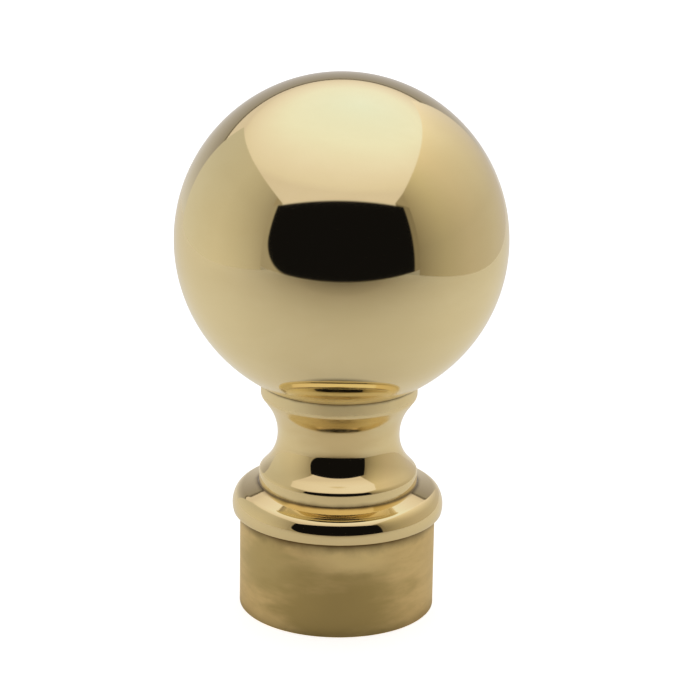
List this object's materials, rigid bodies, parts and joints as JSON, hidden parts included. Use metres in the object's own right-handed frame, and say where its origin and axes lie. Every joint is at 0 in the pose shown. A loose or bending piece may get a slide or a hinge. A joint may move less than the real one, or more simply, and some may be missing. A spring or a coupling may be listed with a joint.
{
  "type": "curtain pole finial",
  "caption": "Hollow cast brass ball finial with a waisted neck, a beaded collar and a plain spigot that slides into the open end of a round curtain pole.",
  "frame": {"origin": "on the axis, in the plane of the collar's underside, where the pole's end comes", "axes": "+Z along the pole's axis, from the spigot out to the ball; the part is the same all round Z"},
  "size_m": [0.059, 0.059, 0.0978],
  "materials": {
    "brass": "mirror polished ball, neck and collar; raw satin spigot; rough cast inside"
  },
  "bodies": {
    "root": {"finial": "brass"}
  },
  "joints": []
}
